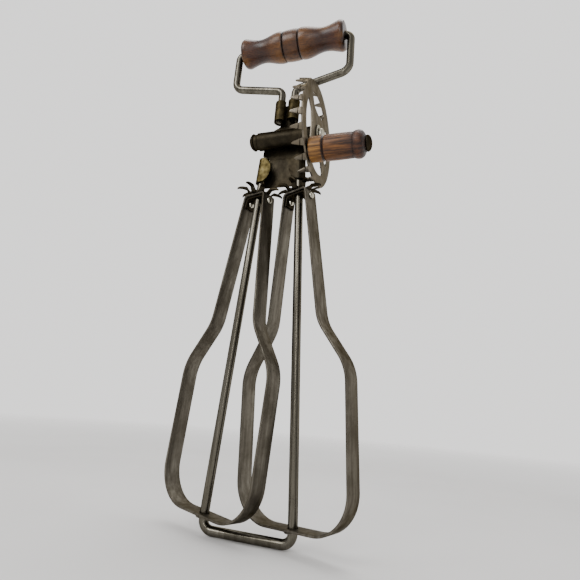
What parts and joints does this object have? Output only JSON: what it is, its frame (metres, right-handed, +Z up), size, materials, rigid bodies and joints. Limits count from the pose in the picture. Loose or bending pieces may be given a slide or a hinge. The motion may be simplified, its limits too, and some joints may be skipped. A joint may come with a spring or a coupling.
{
  "type": "rotary egg beater",
  "caption": "Large hand-cranked egg beater: wooden grip on a wire bail, pressed frame, crown wheel with side knob, star pinions and strip-steel dashers.",
  "frame": {"origin": "middle of the top grip, on its axis", "axes": "+Z up along the tool from the dashers to the grip, +X along the grip and the crank axle towards the knob, +Y to the flat back of the frame plate"},
  "size_m": [0.1506, 0.086, 0.407],
  "materials": {
    "grip_wood": "dark stained turned hardwood under worn satin varnish",
    "knob_wood": "open-grained turned wood, worn and darkened by hands",
    "wire_steel": "drawn steel wire with dull old plating",
    "strip_steel": "cold-rolled strip with dark olive patina",
    "frame_steel": "pressed sheet with dark brown-black patina",
    "wheel_steel": "stamped sheet, grey-brown satin",
    "bright_steel": "polished by wear"
  },
  "bodies": {
    "frame": {"handle_wire": "wire_steel", "frame_plate": "frame_steel", "axle_sleeve": "frame_steel", "dasher_wire": "wire_steel"},
    "grip": {"top_grip": "grip_wood"},
    "crank": {"drive_wheel": "wheel_steel", "crank_axle": "frame_steel", "axle_washer": "frame_steel", "thrust_washer": "wire_steel", "hub_washer": "bright_steel", "hub_nut": "bright_steel", "knob_pin": "frame_steel", "knob_washer": "wire_steel"},
    "knob": {"crank_knob": "knob_wood"},
    "left_dasher": {"left_pinion": "frame_steel", "left_upper_washer": "wire_steel", "left_dasher_band": "strip_steel", "left_hub_bracket": "frame_steel", "left_rivet_inner": "bright_steel", "left_rivet_outer": "bright_steel", "left_lower_washer": "wire_steel"},
    "right_dasher": {"right_pinion": "frame_steel", "right_upper_washer": "wire_steel", "right_dasher_band": "strip_steel", "right_hub_bracket": "frame_steel", "right_rivet_inner": "bright_steel", "right_rivet_outer": "bright_steel", "right_lower_washer": "wire_steel"}
  },
  "joints": [
    {"name": "grip_spin", "type": "hinge", "parent": "frame", "child": "grip", "pos_m": [0, 0, 0], "axis": [1, 0, 0], "continuous": true},
    {"name": "crank_turn", "type": "hinge", "parent": "frame", "child": "crank", "pos_m": [0, -0.004, -0.0983], "axis": [1, 0, 0], "continuous": true},
    {"name": "knob_spin", "type": "hinge", "parent": "crank", "child": "knob", "pos_m": [0.05, -0.0234, -0.125], "axis": [1, 0, 0], "continuous": true},
    {"name": "left_dasher_spin", "type": "hinge", "parent": "frame", "child": "left_dasher", "pos_m": [-0.0165, 0, -0.142], "axis": [0.0621, 0, 0.9981], "continuous": true},
    {"name": "right_dasher_spin", "type": "hinge", "parent": "frame", "child": "right_dasher", "pos_m": [0.0165, 0, -0.142], "axis": [-0.0621, 0, 0.9981], "continuous": true}
  ],
  "couplings": [
    {"joint": "left_dasher_spin", "follows": "crank_turn", "ratio": -3},
    {"joint": "right_dasher_spin", "follows": "crank_turn", "ratio": 3}
  ]
}
